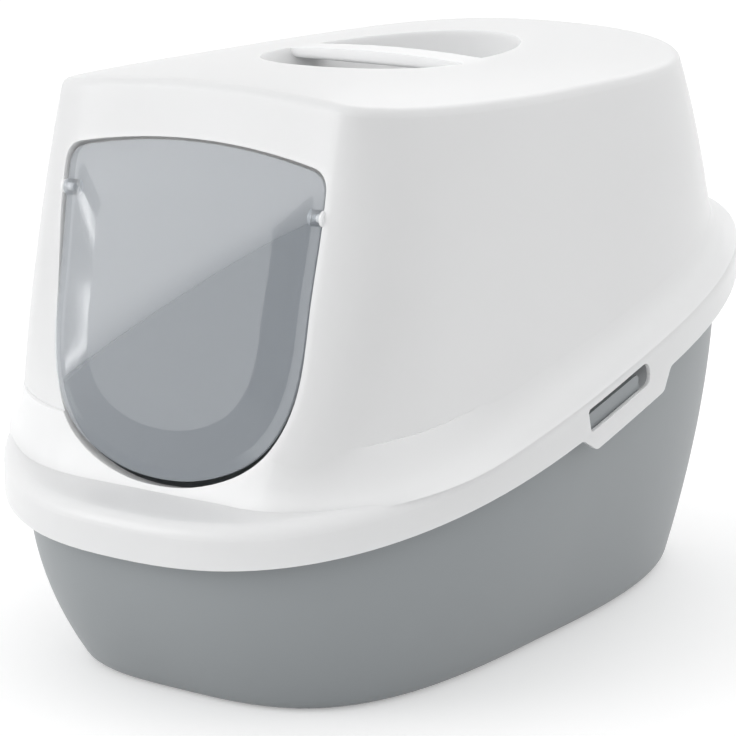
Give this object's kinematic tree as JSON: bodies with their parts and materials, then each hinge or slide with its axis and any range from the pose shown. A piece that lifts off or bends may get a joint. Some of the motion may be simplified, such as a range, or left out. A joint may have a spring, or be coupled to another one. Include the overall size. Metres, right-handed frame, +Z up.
{
  "type": "covered litter box",
  "caption": "Covered cat litter box with a grey tray, a white hood with a carrying bar in its top and a see-through swinging door.",
  "frame": {"origin": "middle of the box's outline on the floor", "axes": "+Z up, -Y towards the doorway at the front, +X to the right of someone facing the doorway"},
  "size_m": [0.3902, 0.56, 0.385],
  "materials": {
    "tray_plastic": "satin",
    "hood_plastic": "gloss",
    "door_clear": "gloss",
    "filter_foam": "matte"
  },
  "bodies": {
    "tray": {"base_tray": "tray_plastic"},
    "cover": {"hood": "hood_plastic", "filter_pad": "filter_foam"},
    "door": {"door_flap": "door_clear"}
  },
  "joints": [
    {"name": "hood_lift", "type": "slide", "parent": "tray", "child": "cover", "axis": [0, 0, 1], "range_m": [0, 0.3]},
    {"name": "door_swing", "type": "hinge", "parent": "cover", "child": "door", "pos_m": [0, -0.2028, 0.31209], "axis": [1, 0, 0], "range_deg": [-80, 80]}
  ]
}
